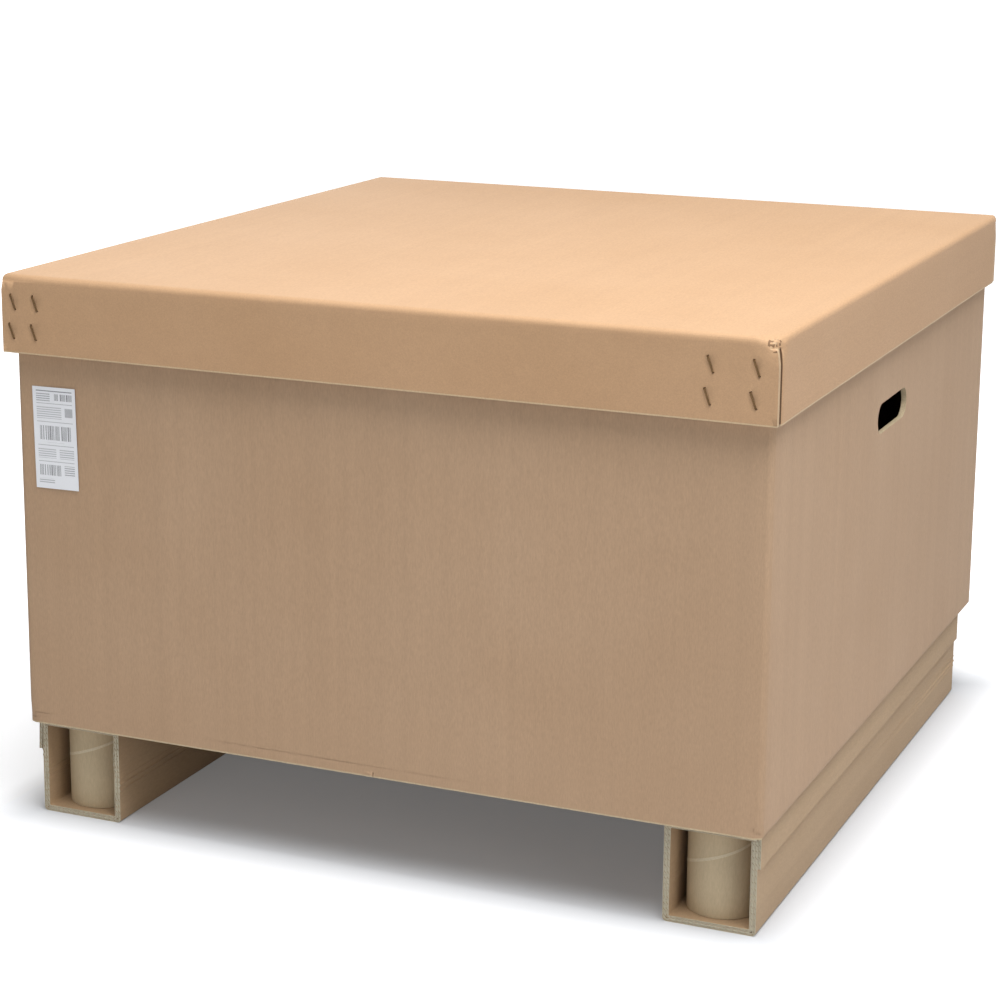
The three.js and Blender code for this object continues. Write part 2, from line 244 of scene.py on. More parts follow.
# %% Kraft linerboard
CLOUD_MM = 210
STREAK_MM = 18.18  # two or three flutes, because single ones are too fine to show
STREAK_LENGTH_MM = 2000  # longer than the box, so that a streak runs all the way
FIBRE_MM = 1.6  # real fibres are thinner, and are drawn this coarse so that they show
FIBRE_STRETCH = 0.22  # a fibre's width over its length
EDGE_MM = 2.2  # lines of torn paper on a cut edge, drawn coarser than they are
# Dark tone for rubbed and torn flecks, and for shade painted into narrow slits.
SOIL_AND_PAINTED_SHADE = "#4A3018"


def kraft_linerboard(name, mid, dark, pale, flutes, cut_and_highlight_edge, streaks, sheen):
    """Kraft board: three hex tones, the axis its flutes run along, and the tone of its cut edges and painted
    highlights.
    """
    material, tree, shader = new_material(name)
    place = add_node(tree, "ShaderNodeTexCoord").outputs["Object"]
    clouds = add_node(
        tree, "ShaderNodeTexNoise", None,
        {"Vector": place, "Scale": 1000 / CLOUD_MM, "Detail": 3.0, "Roughness": 0.5},
    )
    spread = add_node(tree, "ShaderNodeMapRange", None, {"Value": clouds, "From Min": 0.2, "From Max": 0.8})
    tone = add_node(
        tree, "ShaderNodeMix", {"data_type": "RGBA"}, {"Factor": spread, "A": colour(dark), "B": colour(pale)}
    )
    base = add_node(
        tree, "ShaderNodeMix", {"data_type": "RGBA"}, {"Factor": 0.5, "A": colour(mid), "B": tone.outputs["Result"]}
    )

    streak_scale = [1000 / (STREAK_LENGTH_MM if axis == flutes else STREAK_MM) for axis in "XYZ"]
    stretched = add_node(tree, "ShaderNodeMapping", None, {"Vector": place, "Scale": streak_scale})
    streak = add_node(
        tree, "ShaderNodeTexNoise", None, {"Vector": stretched, "Scale": 1.0, "Detail": 4.0, "Roughness": 0.6}
    )
    depth = 0.1 * streaks
    streak_level = add_node(
        tree, "ShaderNodeMapRange", None,
        {"Value": streak, "From Min": 0.3, "From Max": 0.7, "To Min": 1 - depth, "To Max": 1 + depth},
    )
    fibre_scale = [1000 / FIBRE_MM * (FIBRE_STRETCH if axis == flutes else 1) for axis in "XYZ"]
    laid = add_node(tree, "ShaderNodeMapping", None, {"Vector": place, "Scale": fibre_scale})
    fibres = add_node(
        tree, "ShaderNodeTexNoise", None, {"Vector": laid, "Scale": 1.0, "Detail": 3.0, "Roughness": 0.7}
    )
    fibre_level = add_node(
        tree, "ShaderNodeMapRange", None,
        {"Value": fibres, "From Min": 0.25, "From Max": 0.75, "To Min": 0.90, "To Max": 1.10},
    )
    torn = add_node(
        tree, "ShaderNodeTexNoise", None,
        {"Vector": place, "Scale": 1000 / EDGE_MM, "Detail": 2.0, "Roughness": 0.6},
    )
    torn_level = add_node(
        tree, "ShaderNodeMapRange", None,
        {"Value": torn, "From Min": 0.3, "From Max": 0.7, "To Min": 0.82, "To Max": 1.06},
    )
    multiply = {"data_type": "RGBA", "blend_type": "MULTIPLY"}
    face = add_node(tree, "ShaderNodeMix", multiply, {"Factor": 1.0, "A": base.outputs["Result"], "B": streak_level})
    face = add_node(tree, "ShaderNodeMix", multiply, {"Factor": 1.0, "A": face.outputs["Result"], "B": fibre_level})
    edge = add_node(tree, "ShaderNodeMix", multiply, {"Factor": 1.0, "A": colour(cut_and_highlight_edge), "B": torn_level})

    # The second attribute mixes in the dark tone: real rubbing and tearing, and painted shade in the lid's slits.
    rubbed_and_shaded = add_node(tree, "ShaderNodeAttribute", {"attribute_name": "rubbed_and_shaded"}).outputs["Fac"]
    soiled_and_shaded = add_node(
        tree, "ShaderNodeMix", {"data_type": "RGBA"}, {"Factor": rubbed_and_shaded, "A": face.outputs["Result"], "B": colour(SOIL_AND_PAINTED_SHADE)}
    )
    # The first attribute mixes in the pale edge tone: raw cut edges, and painted highlights.
    cut_and_highlight = add_node(tree, "ShaderNodeAttribute", {"attribute_name": "cut_and_highlight"}).outputs["Fac"]
    finished = add_node(
        tree, "ShaderNodeMix", {"data_type": "RGBA"},
        {"Factor": cut_and_highlight, "A": soiled_and_shaded.outputs["Result"], "B": edge.outputs["Result"]},
    )
    tree.links.new(finished.outputs["Result"], shader.inputs["Base Color"])
    shader.inputs["Roughness"].default_value = 0.72
    shader.inputs["IOR"].default_value = 1.45
    shader.inputs["Specular IOR Level"].default_value = 0.35
    shader.inputs["Sheen Weight"].default_value = sheen
    shader.inputs["Sheen Roughness"].default_value = 0.4

    relief = add_node(
        tree, "ShaderNodeMath", {"operation": "MULTIPLY_ADD"}, {0: streak, 1: 1.6, 2: fibres}
    )
    bump = add_node(tree, "ShaderNodeBump", None, {"Height": relief, "Strength": 0.09, "Distance": 0.0006})
    tree.links.new(bump.outputs[0], shader.inputs["Normal"])
    return material


# The body's liner is a cool grey brown with upright streaks, and its raw rim and a line along its bottom are paler.
body_kraft = kraft_linerboard("kraft_double_wall_body", "#B09275", "#A98A6C", "#B6997D", "Z", "#C2AF90", 0.3, 0.04)
# The lid's liner is warmer and more golden, and its fibres catch a little more light at a low angle.
lid_kraft = kraft_linerboard("kraft_double_wall_lid", "#B79370", "#B18D69", "#BD9A78", "Y", "#CDB998", 0.2, 0.06)
# The runners' board is thinner, so its flutes show more, and its ends are almost grey.
runner_kraft = kraft_linerboard("kraft_single_wall_runner", "#AB9071", "#A38868", "#B3997A", "Y", "#D1CAB3", 0.4, 0.04)
# The cores are wound from recycled paper, greener and duller; the pale edge tone is a painted seam highlight.
core_paper = kraft_linerboard("wound_core_paper", "#B9A687", "#B09D7C", "#C1AF92", "Z", "#D3C6AA", 0.25, 0.04)
print("boards and papers", [m.name for m in (body_kraft, lid_kraft, runner_kraft, core_paper)])

# %% [markdown]
# The label is coated white paper, smoother than the board, with grey-black thermal print. The print is only
# a layout: each block is a rectangle on the label's own flat coordinates, from 0 to 1 each way. Some are
# solid, some are ruled into lines and some into bars of uneven width.

# %% Label paper
PRINT_BLOCKS = [
    # left, right, bottom, top, kind, ink
    (0.08, 0.92, 0.955, 0.965, "solid", 0.75),
    (0.08, 0.40, 0.860, 0.935, "lines", 0.60),
    (0.50, 0.92, 0.870, 0.935, "bars", 0.85),
    (0.08, 0.92, 0.835, 0.841, "solid", 0.55),
    (0.08, 0.66, 0.690, 0.810, "lines", 0.45),
    (0.74, 0.92, 0.715, 0.800, "solid", 0.50),
    (0.08, 0.92, 0.655, 0.661, "solid", 0.55),
    (0.14, 0.86, 0.480, 0.620, "bars", 0.85),
    (0.30, 0.70, 0.455, 0.468, "lines", 0.60),
    (0.08, 0.92, 0.425, 0.431, "solid", 0.55),
    (0.08, 0.50, 0.300, 0.400, "lines", 0.45),
    (0.58, 0.92, 0.300, 0.400, "lines", 0.50),
    (0.08, 0.92, 0.265, 0.271, "solid", 0.55),
    (0.10, 0.60, 0.130, 0.235, "bars", 0.80),
    (0.68, 0.92, 0.130, 0.235, "lines", 0.60),
    (0.08, 0.44, 0.055, 0.100, "lines", 0.50),
]
LINE_COUNT = 46
LINE_GAP = 0.55  # the share of a line's height that stays white
BAR_COUNT = 90
PRINT_GRAIN_MM = 1.11  # the print head's dots are finer, and are drawn this coarse so that they show

label_paper, tree, shader = new_material("coated_label_paper")
flat_place = add_node(tree, "ShaderNodeUVMap", {"uv_map": "flat"})
flat_place = add_node(tree, "ShaderNodeSeparateXYZ", None, {0: flat_place}).outputs
across, up = flat_place["X"], flat_place["Y"]

line_phase = add_node(tree, "ShaderNodeMath", {"operation": "MULTIPLY"}, {0: up, 1: LINE_COUNT})
line_phase = add_node(tree, "ShaderNodeMath", {"operation": "FRACT"}, {0: line_phase})
bar_place = add_node(tree, "ShaderNodeMath", {"operation": "MULTIPLY"}, {0: across, 1: BAR_COUNT})
bar_place = add_node(tree, "ShaderNodeCombineXYZ", None, {"X": bar_place})
bar_noise = add_node(tree, "ShaderNodeTexNoise", None, {"Vector": bar_place, "Scale": 0.9, "Detail": 0.0})
ruling = {
    "lines": add_node(tree, "ShaderNodeMath", {"operation": "GREATER_THAN"}, {0: line_phase, 1: LINE_GAP}),
    "bars": add_node(tree, "ShaderNodeMath", {"operation": "GREATER_THAN"}, {0: bar_noise, 1: 0.5}),
}
ink = 0.0
for left, right, bottom, top, kind, strength in PRINT_BLOCKS:
    block = strength
    for place, start, end in ((across, left, right), (up, bottom, top)):
        inside = add_node(
            tree, "ShaderNodeMath", {"operation": "COMPARE"}, {0: place, 1: (start + end) / 2, 2: (end - start) / 2}
        )
        block = add_node(tree, "ShaderNodeMath", {"operation": "MULTIPLY"}, {0: block, 1: inside})
    if kind in ruling:
        block = add_node(tree, "ShaderNodeMath", {"operation": "MULTIPLY"}, {0: block, 1: ruling[kind]})
    ink = add_node(tree, "ShaderNodeMath", {"operation": "ADD"}, {0: block, 1: ink})
grain = add_node(tree, "ShaderNodeTexCoord").outputs["Object"]
grain = add_node(tree, "ShaderNodeTexNoise", None, {"Vector": grain, "Scale": 1000 / PRINT_GRAIN_MM, "Detail": 2.0})
grain = add_node(tree, "ShaderNodeMath", {"operation": "MULTIPLY_ADD"}, {0: grain, 1: 0.5, 2: 0.7})
ink = add_node(tree, "ShaderNodeMath", {"operation": "MULTIPLY"}, {0: ink, 1: grain})
printed = add_node(
    tree, "ShaderNodeMix", {"data_type": "RGBA"}, {"Factor": ink, "A": colour("#E3E4E7"), "B": colour("#35363A")}
)
tree.links.new(printed.outputs["Result"], shader.inputs["Base Color"])
shader.inputs["Roughness"].default_value = 0.45
print("label layout of", len(PRINT_BLOCKS), "blocks")

# %% [markdown]
# The staples are bronze-coated steel wire. The coat is thin and has gone dull, so the wire is a metal with a
# dark brown tone that varies along it, and its gloss is soft.

# %% Staple wire
DULL_PATCH_MM = 3.85

staple_wire, tree, shader = new_material("bronze_coated_steel_wire")
place = add_node(tree, "ShaderNodeTexCoord").outputs["Object"]
dulling = add_node(tree, "ShaderNodeTexNoise", None, {"Vector": place, "Scale": 1000 / DULL_PATCH_MM, "Detail": 3.0})
tone = add_node(
    tree, "ShaderNodeMix", {"data_type": "RGBA"}, {"Factor": dulling, "A": colour("#46341F"), "B": colour("#6A5032")}
)
tree.links.new(tone.outputs["Result"], shader.inputs["Base Color"])
shader.inputs["Metallic"].default_value = 0.8
shader.inputs["Roughness"].default_value = 0.42
print("wire", staple_wire.name)

# %% [markdown]
# Every solid gets the material of its real piece, so that it looks right wherever it shows. The names of the
# solids begin with the kind of piece, and the kind chooses the material.

# %% Materials on the solids
WORN_BY = {
    "body_box": body_kraft, "lid": lid_kraft, "runner": runner_kraft,
    "core": core_paper, "label": label_paper, "staple": staple_wire,
}
for name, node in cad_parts.items():
    kind = next(kind for kind in WORN_BY if name.startswith(kind))
    node.data.materials.clear()
    node.data.materials.append(WORN_BY[kind])
print(len(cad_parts), "solids in", len(WORN_BY), "materials")

# %% [markdown]
# Shapes that repeat or follow a rule are made by Geometry Nodes. Each tree gets named inputs for its sizes,
# ends in Realize Instances and Set Material, and is then turned into a plain mesh, so that what is kept is
# ordinary geometry. These helpers make a tree with its inputs, run it on a few guide points, and bake it.

# %% Helpers for Geometry Nodes
SMOOTH_ANGLE = 30  # bends below this many degrees are shaded smooth


def geometry_tree(name, sizes):
    """A tree with a geometry input and output, and one number input for each named size."""
    tree = bpy.data.node_groups.new(name, "GeometryNodeTree")
    tree.interface.new_socket("Geometry", in_out="INPUT", socket_type="NodeSocketGeometry")
    for size_name, value in sizes.items():
        socket = tree.interface.new_socket(size_name, in_out="INPUT", socket_type="NodeSocketFloat")
        socket.default_value = value
    tree.interface.new_socket("Geometry", in_out="OUTPUT", socket_type="NodeSocketGeometry")
    start = add_node(tree, "NodeGroupInput")
    return tree, start.outputs


def end_tree(tree, geometry, material):
    """Ends a tree in Realize Instances and Set Material."""
    real = add_node(tree, "GeometryNodeRealizeInstances", None, {"Geometry": geometry})
    dressed = add_node(tree, "GeometryNodeSetMaterial", None, {"Geometry": real, "Material": material})
    add_node(tree, "NodeGroupOutput", None, {0: dressed})


def guide_object(name, points, edges=(), values=None):
    """A mesh of loose points or edges for a tree to work from, with optional vectors on its points."""
    mesh = bpy.data.meshes.new(name)
    mesh.from_pydata(points, edges, [])
    for attribute_name, vectors in (values or {}).items():
        attribute = mesh.attributes.new(attribute_name, "FLOAT_VECTOR", "POINT")
        attribute.data.foreach_set("vector", [v for vector in vectors for v in vector])
    guide = bpy.data.objects.new(name, mesh)
    bpy.context.scene.collection.objects.link(guide)
    return guide


def run_tree(guide, tree, sizes, name):
    """Runs a tree on a guide, with sizes set by socket identifier, and bakes the result as a new piece."""
    modifier = guide.modifiers.new(tree.name, "NODES")
    modifier.node_group = tree
    for item in tree.interface.items_tree:
        if item.in_out == "INPUT" and item.name in sizes:
            modifier[item.identifier] = sizes[item.name]
    graph = bpy.context.evaluated_depsgraph_get()
    mesh = bpy.data.meshes.new_from_object(guide.evaluated_get(graph), depsgraph=graph)
    guide.modifiers.clear()
    bpy.data.objects.remove(guide)
    mesh.name = name
    mesh.shade_smooth()
    mesh.set_sharp_from_angle(angle=math.radians(SMOOTH_ANGLE))
    piece = bpy.data.objects.new(name, mesh)
    bpy.context.scene.collection.objects.link(piece)
    print(name, len(mesh.polygons), "faces")
    return piece


def mark_faces(piece, attribute_name, test):
    """Writes 1 on the faces that pass a test and 0 on the others."""
    attribute = piece.data.attributes.new(attribute_name, "FLOAT", "FACE")
    attribute.data.foreach_set("value", [1.0 if test(face) else 0.0 for face in piece.data.polygons])


# %% [markdown]
# A runner is one length of single-wall board wound twice round a square section, with its end lapped down
# the outer side. It could be a plain tube with a texture on its ends, but the flutes show there, so this
# tree builds the real thing: two liners and a wave of fluting between them, all following the wound path,
# swept along the whole runner. The flutes run the long way, so they show as openings at both ends. A packed
# layer between the liners, a little shorter than they are, stands for the flutes that are crushed there.

# %% Tree for the runner sleeves
PLY = 0.0040
LINER = 0.0005
RUNNER_FLUTE_PITCH = 0.0078
FOLD_RADIUS = 0.0032
END_RECESS = 0.0011  # the crushed flutes lie this far behind the liners' ends
STEPS_PER_FLUTE = 8.0

sleeve_tree, size = geometry_tree("wound_board_sleeve", {
    "Ply": PLY, "Liner": LINER, "Flute pitch": RUNNER_FLUTE_PITCH, "Fold radius": FOLD_RADIUS,
    "Recess": END_RECESS, "Length": 1.0, "Middle": 0.0,
})
path = add_node(sleeve_tree, "GeometryNodeMeshToCurve", None, {"Mesh": size["Geometry"]})
path = add_node(
    sleeve_tree, "GeometryNodeFilletCurve", {"mode": "POLY"},
    {"Curve": path, "Radius": size["Fold radius"], "Limit Radius": True, "Count": 5},
)
path = add_node(sleeve_tree, "GeometryNodeSetCurveNormal", {"mode": "Z_UP"}, {"Curve": path})
normal = add_node(sleeve_tree, "GeometryNodeInputNormal")
half_ply = add_node(sleeve_tree, "ShaderNodeMath", {"operation": "MULTIPLY"}, {0: size["Ply"], 1: 0.5})

step = add_node(
    sleeve_tree, "ShaderNodeMath", {"operation": "DIVIDE"}, {0: size["Flute pitch"], 1: STEPS_PER_FLUTE}
)
wave_path = add_node(sleeve_tree, "GeometryNodeResampleCurve", {"mode": "LENGTH"}, {"Curve": path, "Length": step})
travelled = add_node(sleeve_tree, "GeometryNodeSplineParameter").outputs["Length"]
waves = add_node(sleeve_tree, "ShaderNodeMath", {"operation": "DIVIDE"}, {0: travelled, 1: size["Flute pitch"]})
waves = add_node(sleeve_tree, "ShaderNodeMath", {"operation": "MULTIPLY"}, {0: waves, 1: 2 * math.pi})
waves = add_node(sleeve_tree, "ShaderNodeMath", {"operation": "SINE"}, {0: waves})

# Each layer is the path, moved along its normal: the two liners by a fixed amount, the fluting by the wave.
sheet_paths = []
for curve, liners_in, share in ((path, -0.5, 1.0), (path, -0.5, -1.0), (wave_path, -1.5, waves)):
    reach = add_node(
        sleeve_tree, "ShaderNodeMath", {"operation": "MULTIPLY_ADD"}, {0: size["Liner"], 1: liners_in, 2: half_ply}
    )
    reach = add_node(sleeve_tree, "ShaderNodeMath", {"operation": "MULTIPLY"}, {0: reach, 1: share})
    shift = add_node(sleeve_tree, "ShaderNodeVectorMath", {"operation": "SCALE"}, {0: normal, "Scale": reach})
    layer = add_node(sleeve_tree, "GeometryNodeSetPosition", None, {"Geometry": curve, "Offset": shift})
    sheet_paths.append(layer)
together = add_node(sleeve_tree, "GeometryNodeJoinGeometry")
for layer in sheet_paths:
    sleeve_tree.links.new(layer.outputs[0], together.inputs[0])
paper = add_node(
    sleeve_tree, "GeometryNodeCurvePrimitiveQuadrilateral", None, {"Width": size["Liner"], "Height": size["Length"]}
)
sheets = add_node(
    sleeve_tree, "GeometryNodeCurveToMesh", None, {"Curve": together, "Profile Curve": paper, "Fill Caps": True}
)

packed_width = add_node(
    sleeve_tree, "ShaderNodeMath", {"operation": "SUBTRACT"}, {0: size["Ply"], 1: size["Liner"]}
)
packed_length = add_node(
    sleeve_tree, "ShaderNodeMath", {"operation": "MULTIPLY_ADD"}, {0: size["Recess"], 1: -2.0, 2: size["Length"]}
)
packed = add_node(
    sleeve_tree, "GeometryNodeCurvePrimitiveQuadrilateral", None, {"Width": packed_width, "Height": packed_length}
)
packed = add_node(
    sleeve_tree, "GeometryNodeCurveToMesh", None, {"Curve": path, "Profile Curve": packed, "Fill Caps": True}
)
board = add_node(sleeve_tree, "GeometryNodeJoinGeometry")
for layer in (sheets, packed):
    sleeve_tree.links.new(layer.outputs[0], board.inputs[0])
middle = add_node(sleeve_tree, "ShaderNodeCombineXYZ", None, {"Y": size["Middle"]})
laid = add_node(
    sleeve_tree, "GeometryNodeTransform", None,
    {"Geometry": board, "Rotation": (math.pi / 2, 0, 0), "Translation": middle},
)
end_tree(sleeve_tree, laid, runner_kraft)
print("sleeve tree of", len(sleeve_tree.nodes), "nodes")

# %% [markdown]
# The tree runs once for each runner, on a path of ten corners. Cut board is never quite straight, so the
# open ends of the upright sides wander in and out afterwards, most at the ends and less along the runner.

# %% Runner sleeves
LAP = 0.042
END_SWAY = 0.0052  # the open ends of the upright sides wander by up to this much
SWAY_REACH = 0.12  # how far the loose ends go in from each end
SWAY_SIZE = 0.034
RUNNER_MIDDLE = 0.433  # distance of a runner's middle from the middle of the box
HALF_CAVITY = 0.045
UPRIGHT_LOW, UPRIGHT_RISE = 0.004, 0.119  # where the free part of an upright side starts, and its height


def wound_path(low, high, side):
    """Corners of the middle line of the board, from the inner end to the lapped outer end."""
    inner = min(abs(low.x), abs(high.x))
    outer = max(abs(low.x), abs(high.x)) - PLY
    top = high.z
    half, double = PLY / 2, PLY * 1.5
    corners = [
        (outer - double, top - 2.2 * PLY), (outer - double, double), (inner + double, double),
        (inner + double, top - double), (outer - half, top - double), (outer - half, half), (inner + half, half),
        (inner + half, top - half), (outer + half, top - half), (outer + half, top - LAP),
    ]
    return [(side * x, z, 0) for x, z in corners]


for side_name, side in (("left", -1), ("right", 1)):
    node_name = "runner_" + side_name
    low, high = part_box(node_name)
    corners = wound_path(low, high, side)
    links = [(i, i + 1) for i in range(len(corners) - 1)]
    guide = guide_object(node_name + "_path", corners, links)
    sizes = {"Length": high.y - low.y, "Middle": (low.y + high.y) / 2}
    sleeve = run_tree(guide, sleeve_tree, sizes, node_name + "_board")
    for vert in sleeve.data.vertices:
        x, y, z = vert.co
        loose = 1 - min(1.0, (min(y - low.y, high.y - y)) / SWAY_REACH)
        wall_seed = side * 5.0 + (abs(x) > RUNNER_MIDDLE) * 9.0
        sway = noise.noise(Vector((z / SWAY_SIZE, round(y / 0.3), wall_seed)))
        free = math.sin(math.pi * min(1.0, max(0.0, (z - UPRIGHT_LOW) / UPRIGHT_RISE)))
        if abs(abs(x) - (abs(low.x + high.x) / 2)) > HALF_CAVITY:
            vert.co.x += END_SWAY * sway * free * (0.25 + 0.75 * loose)
    mark_faces(sleeve, "cut_and_highlight", lambda face: abs(face.normal.y) > 0.7)
    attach(sleeve, "box")
    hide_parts(node_name)

# %% [markdown]
# The cores are paper tubes wound from a long strip. The strip's edge climbs round the tube as a helix and
# shows as a fine ridge, with a highlight painted along it in a pale tone. One tree makes a tube, adds the
# ridge along a spiral, and puts a copy on each guide point, turned by that point's own angle so that no two
# seams line up.

# %% Paper cores
CORE_RADIUS = 0.045
CORE_WALL = 0.007
CORE_EDGE = 0.0006  # rounding of the tube's ends
SEAM_LEAD = 0.100
SEAM_WIDTH = 0.0036
SEAM_PROUD = 0.0005
# How far the seam ridge takes the pale edge tone, as a painted highlight.
SEAM_PAINTED_HIGHLIGHT = 0.7
ROUND_STEPS = 96
FRONT_SEAM_TURNS = {"core_left_1": 2, "core_right_1": 9}  # degrees, as they stand at the open ends
OTHER_SEAM_TURN = 47

core_nodes = sorted(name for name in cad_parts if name.startswith("core_"))
low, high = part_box(core_nodes[0])
core_tree, size = geometry_tree("wound_paper_core", {
    "Radius": CORE_RADIUS, "Wall": CORE_WALL, "Height": high.z - low.z,
    "Lead": SEAM_LEAD, "Seam": SEAM_WIDTH, "Proud": SEAM_PROUD,
})
middle_radius = add_node(
    core_tree, "ShaderNodeMath", {"operation": "MULTIPLY_ADD"}, {0: size["Wall"], 1: -0.5, 2: size["Radius"]}
)
ring = add_node(
    core_tree, "GeometryNodeCurvePrimitiveCircle", None, {"Resolution": ROUND_STEPS, "Radius": middle_radius}
)
section = add_node(
    core_tree, "GeometryNodeCurvePrimitiveQuadrilateral", None, {"Width": size["Wall"], "Height": size["Height"]}
)
section = add_node(
    core_tree, "GeometryNodeFilletCurve", {"mode": "POLY"}, {"Curve": section, "Radius": CORE_EDGE, "Count": 2}
)
tube = add_node(core_tree, "GeometryNodeCurveToMesh", None, {"Curve": ring, "Profile Curve": section})

seam_height = add_node(
    core_tree, "ShaderNodeMath", {"operation": "MULTIPLY_ADD"}, {0: size["Seam"], 1: -2.0, 2: size["Height"]}
)
seam_turns = add_node(core_tree, "ShaderNodeMath", {"operation": "DIVIDE"}, {0: seam_height, 1: size["Lead"]})
seam_path = add_node(core_tree, "GeometryNodeCurveSpiral", None, {
    "Resolution": ROUND_STEPS, "Rotations": seam_turns, "Start Radius": size["Radius"],
    "End Radius": size["Radius"], "Height": seam_height, "Reverse": True,
})
seam_path = add_node(core_tree, "GeometryNodeSetCurveNormal", {"mode": "Z_UP"}, {"Curve": seam_path})
seam_section = add_node(
    core_tree, "GeometryNodeCurvePrimitiveQuadrilateral", None, {"Width": size["Proud"], "Height": size["Seam"]}
)
ridge = add_node(
    core_tree, "GeometryNodeCurveToMesh", None,
    {"Curve": seam_path, "Profile Curve": seam_section, "Fill Caps": True},
)
lift = add_node(core_tree, "ShaderNodeMath", {"operation": "MULTIPLY"}, {0: seam_height, 1: -0.5})
lift = add_node(core_tree, "ShaderNodeCombineXYZ", None, {"Z": lift})
ridge = add_node(core_tree, "GeometryNodeTransform", None, {"Geometry": ridge, "Translation": lift})
# The ridge takes the pale edge tone: a painted highlight along the seam.
ridge = add_node(
    core_tree, "GeometryNodeStoreNamedAttribute", {"data_type": "FLOAT", "domain": "FACE"},
    {"Geometry": ridge, "Name": "cut_and_highlight", "Value": SEAM_PAINTED_HIGHLIGHT},
)
wound = add_node(core_tree, "GeometryNodeJoinGeometry")
for part in (tube, ridge):
    core_tree.links.new(part.outputs[0], wound.inputs[0])
angle = add_node(core_tree, "GeometryNodeInputNamedAttribute", {"data_type": "FLOAT_VECTOR"}, {"Name": "turn"})
copies = add_node(
    core_tree, "GeometryNodeInstanceOnPoints", None,
    {"Points": size["Geometry"], "Instance": wound, "Rotation": angle},
)
end_tree(core_tree, copies, core_paper)

centres, turns = [], []
for number, name in enumerate(core_nodes):
    low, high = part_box(name)
    centres.append((low + high) / 2)
    turns.append((0, 0, math.radians(FRONT_SEAM_TURNS.get(name, OTHER_SEAM_TURN * number))))
guide = guide_object("core_places", centres, values={"turn": turns})
cores = run_tree(guide, core_tree, {"Height": high.z - low.z}, "paper_cores")
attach(cores, "box")
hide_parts(*core_nodes)

# %% [markdown]
# Each corner of the lid is held by wire staples driven at a slant. A staple is a flat wire with rounded
# bends: a crown outside, two legs through both boards, and the ends bent back flat behind. One tree bends
# the wire along a path of named sizes and puts a copy on each guide point, turned to the face and the lean.

# %% Staples
STAPLE_CROWN = 0.021
STAPLE_CLINCH = 0.008  # length of each end that is bent back
STAPLE_DEPTH = 0.0158  # from the crown to the bent ends, until it is measured below
WIRE = 0.0009
WIRE_WIDTH = 0.0024
WIRE_EDGE = 0.00028
WIRE_BEND = 0.0012
LEAN = 20.0

staple_nodes = sorted(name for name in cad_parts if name.startswith("staple_"))
staple_tree, size = geometry_tree("bent_wire_staple", {
    "Crown": STAPLE_CROWN, "Depth": STAPLE_DEPTH, "Clinch": STAPLE_CLINCH,
    "Wire": WIRE, "Wire width": WIRE_WIDTH, "Bend": WIRE_BEND,
})
half_crown = add_node(staple_tree, "ShaderNodeMath", {"operation": "SUBTRACT"}, {0: size["Crown"], 1: size["Wire"]})
half_crown = add_node(staple_tree, "ShaderNodeMath", {"operation": "MULTIPLY"}, {0: half_crown, 1: 0.5})
half_depth = add_node(staple_tree, "ShaderNodeMath", {"operation": "MULTIPLY"}, {0: size["Depth"], 1: 0.5})
clinched = add_node(staple_tree, "ShaderNodeMath", {"operation": "SUBTRACT"}, {0: half_crown, 1: size["Clinch"]})

# The wire runs from one bent end, out to the crown and along it, and back to the other bent end.
wire_stops = (
    (1, clinched, 1), (1, half_crown, 1), (-1, half_crown, 1),
    (-1, half_crown, -1), (1, half_crown, -1), (1, clinched, -1),
)
bends = add_node(staple_tree, "GeometryNodeIndexSwitch", {"data_type": "VECTOR"})
while len(bends.index_switch_items) < len(wire_stops):
    bends.index_switch_items.new()
index = add_node(staple_tree, "GeometryNodeInputIndex")
staple_tree.links.new(index.outputs[0], bends.inputs["Index"])
for number, (depth_side, rise, rise_side) in enumerate(wire_stops):
    y = add_node(staple_tree, "ShaderNodeMath", {"operation": "MULTIPLY"}, {0: half_depth, 1: depth_side})
    z = add_node(staple_tree, "ShaderNodeMath", {"operation": "MULTIPLY"}, {0: rise, 1: rise_side})
    stop = add_node(staple_tree, "ShaderNodeCombineXYZ", None, {"Y": y, "Z": z})
    staple_tree.links.new(stop.outputs[0], bends.inputs[number + 1])
wire_points = add_node(staple_tree, "GeometryNodeMeshLine", None, {"Count": len(wire_stops)})
wire_points = add_node(staple_tree, "GeometryNodeSetPosition", None, {"Geometry": wire_points, "Position": bends})
wire_path = add_node(staple_tree, "GeometryNodeMeshToCurve", None, {"Mesh": wire_points})
wire_path = add_node(
    staple_tree, "GeometryNodeFilletCurve", {"mode": "POLY"},
    {"Curve": wire_path, "Radius": size["Bend"], "Limit Radius": True, "Count": 4},
)
flat_wire = add_node(
    staple_tree, "GeometryNodeCurvePrimitiveQuadrilateral", None, {"Width": size["Wire width"], "Height": size["Wire"]}
)
flat_wire = add_node(
    staple_tree, "GeometryNodeFilletCurve", {"mode": "POLY"}, {"Curve": flat_wire, "Radius": WIRE_EDGE, "Count": 2}
)
staple = add_node(
    staple_tree, "GeometryNodeCurveToMesh", None,
    {"Curve": wire_path, "Profile Curve": flat_wire, "Fill Caps": True},
)
angle = add_node(staple_tree, "GeometryNodeInputNamedAttribute", {"data_type": "FLOAT_VECTOR"}, {"Name": "turn"})
copies = add_node(
    staple_tree, "GeometryNodeInstanceOnPoints", None,
    {"Points": size["Geometry"], "Instance": staple, "Rotation": angle},
)
end_tree(staple_tree, copies, staple_wire)

staple_centres, turns = [], []
for name in staple_nodes:
    low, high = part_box(name)
    staple_centres.append((low + high) / 2)
    turns.append((0, math.radians(-LEAN), 0 if "front" in name else math.pi))
depth = (high.y - low.y) - WIRE
guide = guide_object("staple_places", staple_centres, values={"turn": turns})
staples = run_tree(guide, staple_tree, {"Depth": depth}, "wire_staples")
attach(staples, "lid")
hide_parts(*staple_nodes)

